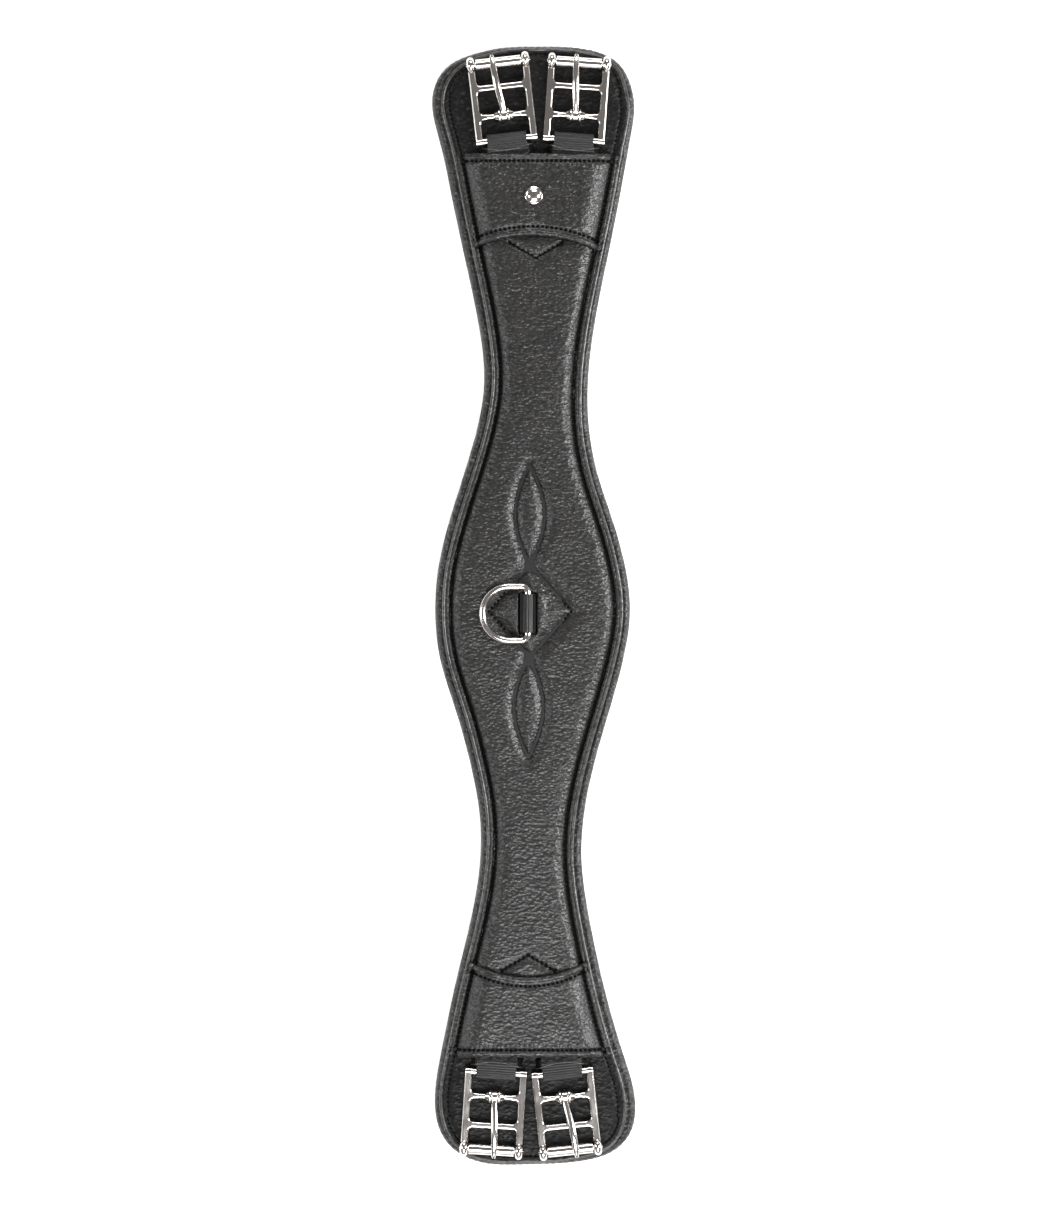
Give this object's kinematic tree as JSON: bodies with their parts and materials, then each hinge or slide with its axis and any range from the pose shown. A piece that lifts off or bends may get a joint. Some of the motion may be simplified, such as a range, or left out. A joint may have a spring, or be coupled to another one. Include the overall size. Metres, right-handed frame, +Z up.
{
  "type": "saddle girth",
  "caption": "Padded black leather dressage girth with narrow waists and a wide belly, roller buckles on short elastic straps at both ends, and a D-ring on a loop in the middle.",
  "frame": {"origin": "under the middle of the girth, on the surface that it lies on", "axes": "+Y along the girth towards the end with the stud, +X across it, +Z up out of its outer face"},
  "size_m": [0.123, 0.6762, 0.0234],
  "materials": {
    "face_leather": "fine pebble grain, satin",
    "lining_leather": "soft grain, satin",
    "guard_leather": "smooth, satin",
    "foam": "closed-cell foam",
    "webbing": "woven",
    "elastic": "ribbed weave",
    "polished_steel": "polished"
  },
  "bodies": {
    "girth_body": {"lining_leather": "lining_leather", "lining_foam": "foam", "core_webbing": "webbing", "edge_welt": "face_leather", "face_leather": "face_leather", "face_foam": "foam", "upper_buckle_guard": "guard_leather", "lower_buckle_guard": "guard_leather", "upper_cover": "face_leather", "lower_cover": "face_leather", "upper_cover_bead": "face_leather", "lower_cover_bead": "face_leather", "upper_point_inlay": "guard_leather", "lower_point_inlay": "guard_leather", "centre_diamond_inlay": "guard_leather", "upper_leaf_inlay": "guard_leather", "lower_leaf_inlay": "guard_leather", "d_ring_keeper": "webbing", "badge_stud": "polished_steel", "badge_pin": "polished_steel"},
    "d_ring": {"d_ring": "polished_steel"},
    "upper_left_strap": {"upper_left_elastic": "elastic"},
    "upper_left_buckle": {"upper_left_frame": "polished_steel", "upper_left_roller_pin": "polished_steel"},
    "upper_left_roller": {"upper_left_roller": "polished_steel"},
    "upper_left_tongue": {"upper_left_tongue": "polished_steel"},
    "upper_right_strap": {"upper_right_elastic": "elastic"},
    "upper_right_buckle": {"upper_right_frame": "polished_steel", "upper_right_roller_pin": "polished_steel"},
    "upper_right_roller": {"upper_right_roller": "polished_steel"},
    "upper_right_tongue": {"upper_right_tongue": "polished_steel"},
    "lower_left_strap": {"lower_left_elastic": "elastic"},
    "lower_left_buckle": {"lower_left_frame": "polished_steel", "lower_left_roller_pin": "polished_steel"},
    "lower_left_roller": {"lower_left_roller": "polished_steel"},
    "lower_left_tongue": {"lower_left_tongue": "polished_steel"},
    "lower_right_strap": {"lower_right_elastic": "elastic"},
    "lower_right_buckle": {"lower_right_frame": "polished_steel", "lower_right_roller_pin": "polished_steel"},
    "lower_right_roller": {"lower_right_roller": "polished_steel"},
    "lower_right_tongue": {"lower_right_tongue": "polished_steel"}
  },
  "joints": [
    {"name": "d_ring_swing", "type": "hinge", "parent": "girth_body", "child": "d_ring", "pos_m": [-0.0036, -0.0048, 0.0179], "axis": [0, 1, 0], "range_deg": [0, 178]},
    {"name": "upper_left_strap_stretch", "type": "slide", "parent": "girth_body", "child": "upper_left_strap", "axis": [-0.1132, 0.9936, 0], "range_m": [0, 0.012], "stiffness_N_per_m": 3000},
    {"name": "upper_left_buckle_swing", "type": "hinge", "parent": "upper_left_strap", "child": "upper_left_buckle", "pos_m": [-0.0163, 0.281, 0.0158], "axis": [0.9936, 0.1132, 0], "range_deg": [0, 90]},
    {"name": "upper_left_roller_spin", "type": "hinge", "parent": "upper_left_buckle", "child": "upper_left_roller", "pos_m": [-0.02156, 0.3272, 0.0158], "axis": [0.9936, 0.1132, 0], "continuous": true},
    {"name": "upper_left_tongue_swing", "type": "hinge", "parent": "upper_left_buckle", "child": "upper_left_tongue", "pos_m": [-0.01794, 0.29541, 0.0158], "axis": [0.9936, 0.1132, 0], "range_deg": [0, 90]},
    {"name": "upper_right_strap_stretch", "type": "slide", "parent": "girth_body", "child": "upper_right_strap", "axis": [0.0698, 0.9976, 0], "range_m": [0, 0.012], "stiffness_N_per_m": 3000},
    {"name": "upper_right_buckle_swing", "type": "hinge", "parent": "upper_right_strap", "child": "upper_right_buckle", "pos_m": [0.0241, 0.2808, 0.0158], "axis": [0.9976, -0.0698, 0], "range_deg": [0, 90]},
    {"name": "upper_right_roller_spin", "type": "hinge", "parent": "upper_right_buckle", "child": "upper_right_roller", "pos_m": [0.02734, 0.32719, 0.0158], "axis": [0.9976, -0.0698, 0], "continuous": true},
    {"name": "upper_right_tongue_swing", "type": "hinge", "parent": "upper_right_buckle", "child": "upper_right_tongue", "pos_m": [0.02511, 0.29526, 0.0158], "axis": [0.9976, -0.0698, 0], "range_deg": [0, 90]},
    {"name": "lower_left_strap_stretch", "type": "slide", "parent": "girth_body", "child": "lower_left_strap", "axis": [-0.0628, -0.998, 0], "range_m": [0, 0.012], "stiffness_N_per_m": 3000},
    {"name": "lower_left_buckle_swing", "type": "hinge", "parent": "lower_left_strap", "child": "lower_left_buckle", "pos_m": [-0.0227, -0.2817, 0.0158], "axis": [-0.998, 0.0628, 0], "range_deg": [0, 90]},
    {"name": "lower_left_roller_spin", "type": "hinge", "parent": "lower_left_buckle", "child": "lower_left_roller", "pos_m": [-0.02562, -0.32811, 0.0158], "axis": [-0.998, 0.0628, 0], "continuous": true},
    {"name": "lower_left_tongue_swing", "type": "hinge", "parent": "lower_left_buckle", "child": "lower_left_tongue", "pos_m": [-0.02361, -0.29617, 0.0158], "axis": [-0.998, 0.0628, 0], "range_deg": [0, 90]},
    {"name": "lower_right_strap_stretch", "type": "slide", "parent": "girth_body", "child": "lower_right_strap", "axis": [0.1045, -0.9945, 0], "range_m": [0, 0.012], "stiffness_N_per_m": 3000},
    {"name": "lower_right_buckle_swing", "type": "hinge", "parent": "lower_right_strap", "child": "lower_right_buckle", "pos_m": [0.0172, -0.2818, 0.0158], "axis": [-0.9945, -0.1045, 0], "range_deg": [0, 90]},
    {"name": "lower_right_roller_spin", "type": "hinge", "parent": "lower_right_buckle", "child": "lower_right_roller", "pos_m": [0.02206, -0.32804, 0.0158], "axis": [-0.9945, -0.1045, 0], "continuous": true},
    {"name": "lower_right_tongue_swing", "type": "hinge", "parent": "lower_right_buckle", "child": "lower_right_tongue", "pos_m": [0.01872, -0.29622, 0.0158], "axis": [-0.9945, -0.1045, 0], "range_deg": [0, 90]}
  ]
}
